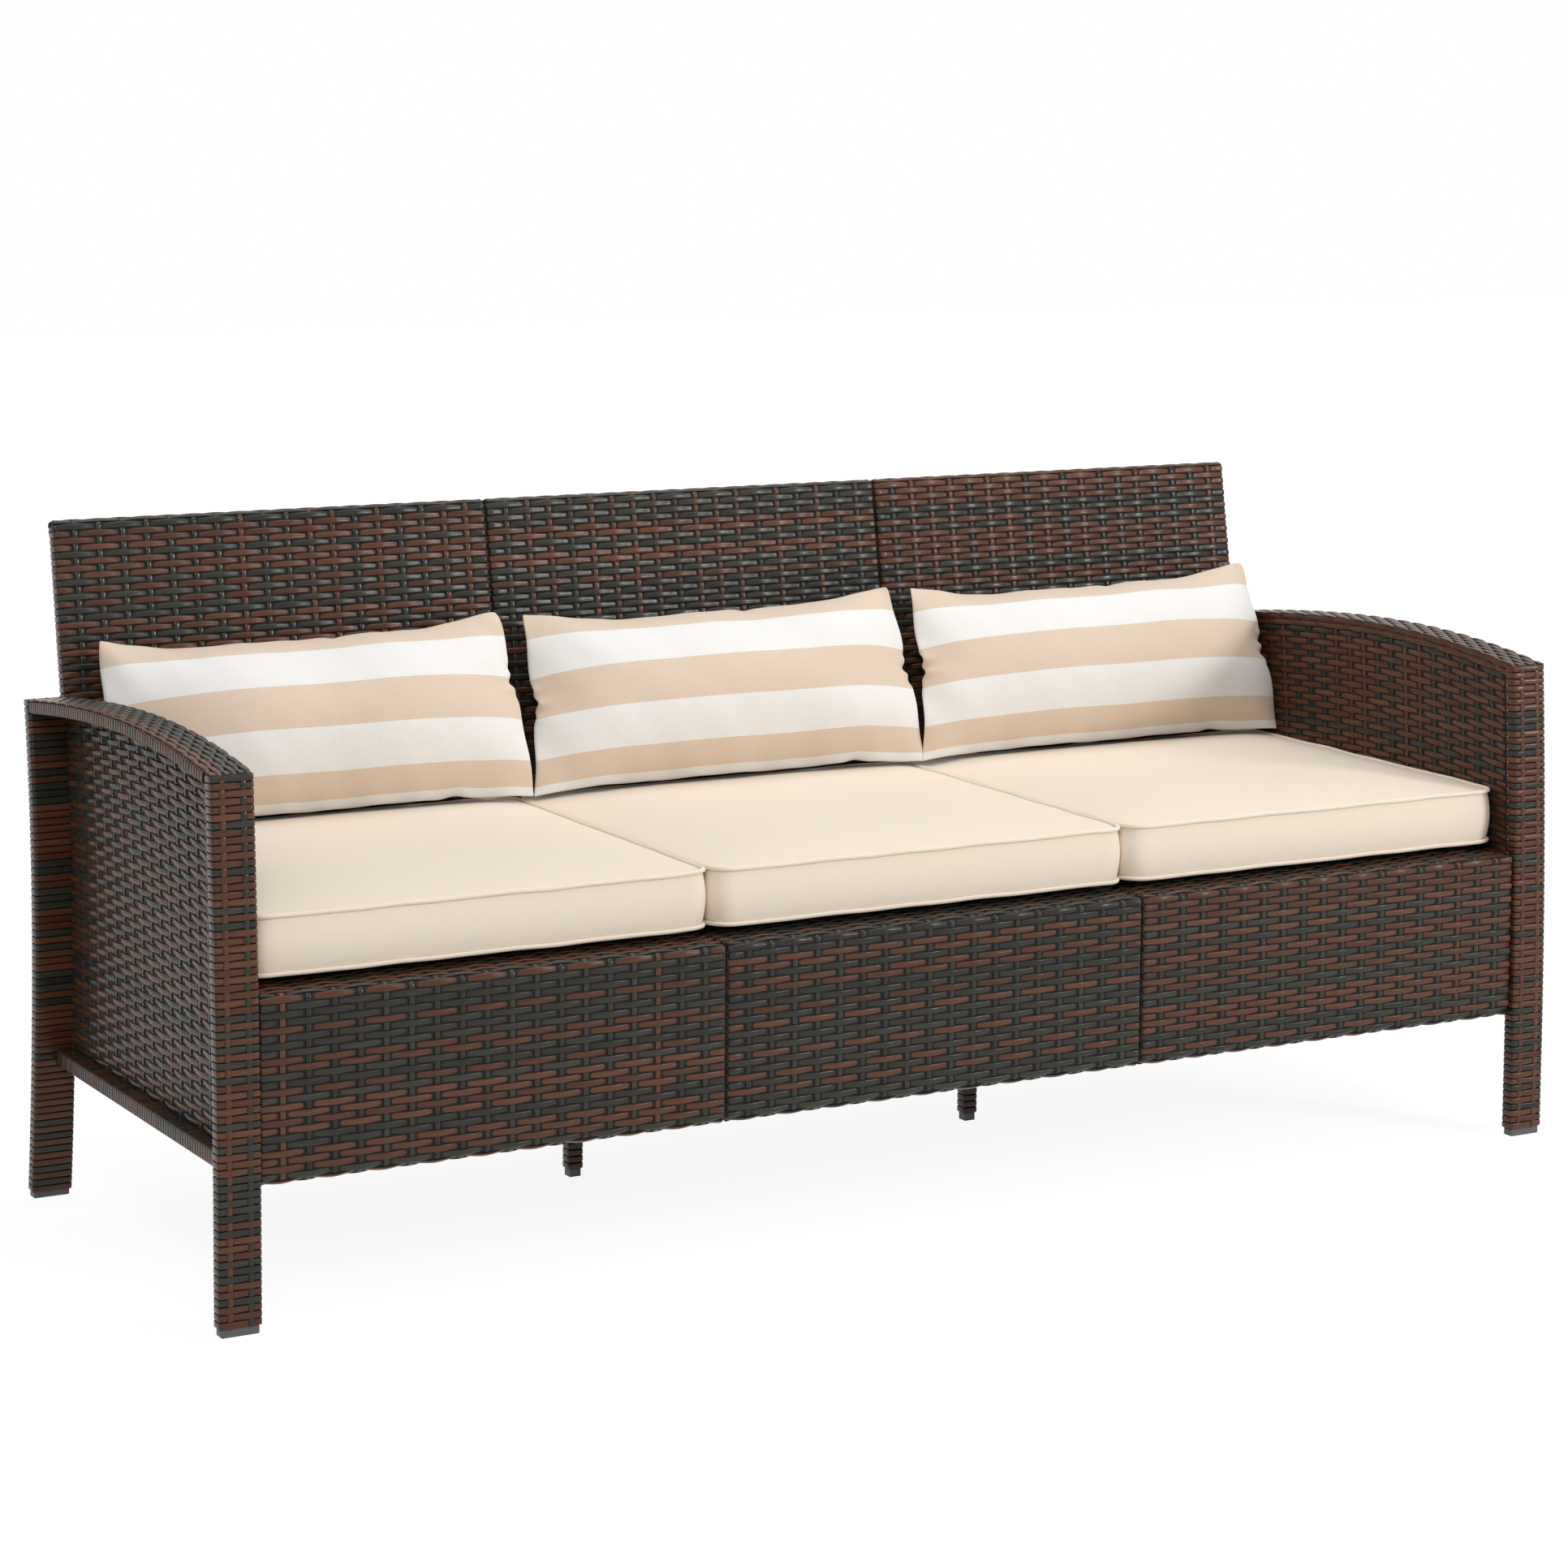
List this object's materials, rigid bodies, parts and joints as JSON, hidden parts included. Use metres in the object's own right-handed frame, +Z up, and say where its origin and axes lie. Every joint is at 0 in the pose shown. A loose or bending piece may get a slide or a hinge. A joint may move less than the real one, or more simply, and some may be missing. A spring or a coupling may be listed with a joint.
{
  "type": "rattan garden sofa",
  "caption": "Garden sofa of woven resin wicker over a steel tube frame, with arched arms, a leaning back, loose box seat cushions and striped lumbar pillows.",
  "frame": {"origin": "on the floor under the middle of the sofa", "axes": "+X along the seat towards the right arm as seen from the front, +Y towards the back, +Z up"},
  "size_m": [1.8, 0.6726, 0.8078],
  "materials": {
    "resin_wicker": "mixed dark grey and brown ribbed strand, satin",
    "frame_steel": "black powder coat, satin",
    "grey_plastic": "moulded plastic",
    "zinc_steel": "bright zinc plating",
    "cream_fabric": "woven polyester with a fine diagonal twill",
    "striped_fabric": "woven polyester in wide beige and white stripes"
  },
  "bodies": {
    "sofa_frame": {"apron_weave_left": "resin_wicker", "apron_weave_middle": "resin_wicker", "apron_weave_right": "resin_wicker", "arm_bolt_front_left": "zinc_steel", "arm_bolt_front_right": "zinc_steel", "arm_bolt_rear_left": "zinc_steel", "arm_bolt_rear_right": "zinc_steel", "arm_frame_left": "frame_steel", "arm_frame_right": "frame_steel", "arm_wrap_left": "resin_wicker", "arm_wrap_right": "resin_wicker", "back_bolt_left_left": "zinc_steel", "back_bolt_left_right": "zinc_steel", "back_bolt_middle_left": "zinc_steel", "back_bolt_middle_right": "zinc_steel", "back_bolt_right_left": "zinc_steel", "back_bolt_right_right": "zinc_steel", "back_frame_left": "frame_steel", "back_frame_middle": "frame_steel", "back_frame_right": "frame_steel", "back_weave_left": "resin_wicker", "back_weave_middle": "resin_wicker", "back_weave_right": "resin_wicker", "front_foot_cap_left": "grey_plastic", "front_foot_cap_right": "grey_plastic", "front_leg_wrap_left": "resin_wicker", "front_leg_wrap_right": "resin_wicker", "rear_foot_cap_left": "grey_plastic", "rear_foot_cap_right": "grey_plastic", "rear_leg_wrap_left": "resin_wicker", "rear_leg_wrap_right": "resin_wicker", "seam_bolt_left": "zinc_steel", "seam_bolt_right": "zinc_steel", "seat_deck_weave_left": "resin_wicker", "seat_deck_weave_middle": "resin_wicker", "seat_deck_weave_right": "resin_wicker", "seat_frame_left": "frame_steel", "seat_frame_middle": "frame_steel", "seat_frame_right": "frame_steel", "side_panel_weave_left": "resin_wicker", "side_panel_weave_right": "resin_wicker", "side_rail_wrap_left": "resin_wicker", "side_rail_wrap_right": "resin_wicker", "support_bolt_left_front": "zinc_steel", "support_bolt_left_rear": "zinc_steel", "support_bolt_right_front": "zinc_steel", "support_bolt_right_rear": "zinc_steel", "support_cap_left": "grey_plastic", "support_cap_right": "grey_plastic", "support_leg_left": "frame_steel", "support_leg_right": "frame_steel", "support_wrap_left": "resin_wicker", "support_wrap_right": "resin_wicker"},
    "seat_cushion_left": {"seat_cushion_left": "cream_fabric"},
    "pillow_left": {"pillow_left": "striped_fabric"},
    "seat_cushion_middle": {"seat_cushion_middle": "cream_fabric"},
    "pillow_middle": {"pillow_middle": "striped_fabric"},
    "seat_cushion_right": {"seat_cushion_right": "cream_fabric"},
    "pillow_right": {"pillow_right": "striped_fabric"}
  },
  "joints": [
    {"name": "seat_cushion_left_lift", "type": "slide", "parent": "sofa_frame", "child": "seat_cushion_left", "axis": [0, 0, 1], "range_m": [0, 0.46]},
    {"name": "pillow_left_lift", "type": "slide", "parent": "seat_cushion_left", "child": "pillow_left", "axis": [0, 0, 1], "range_m": [0, 0.4]},
    {"name": "seat_cushion_middle_lift", "type": "slide", "parent": "sofa_frame", "child": "seat_cushion_middle", "axis": [0, 0, 1], "range_m": [0, 0.46]},
    {"name": "pillow_middle_lift", "type": "slide", "parent": "seat_cushion_middle", "child": "pillow_middle", "axis": [0, 0, 1], "range_m": [0, 0.4]},
    {"name": "seat_cushion_right_lift", "type": "slide", "parent": "sofa_frame", "child": "seat_cushion_right", "axis": [0, 0, 1], "range_m": [0, 0.46]},
    {"name": "pillow_right_lift", "type": "slide", "parent": "seat_cushion_right", "child": "pillow_right", "axis": [0, 0, 1], "range_m": [0, 0.4]}
  ]
}
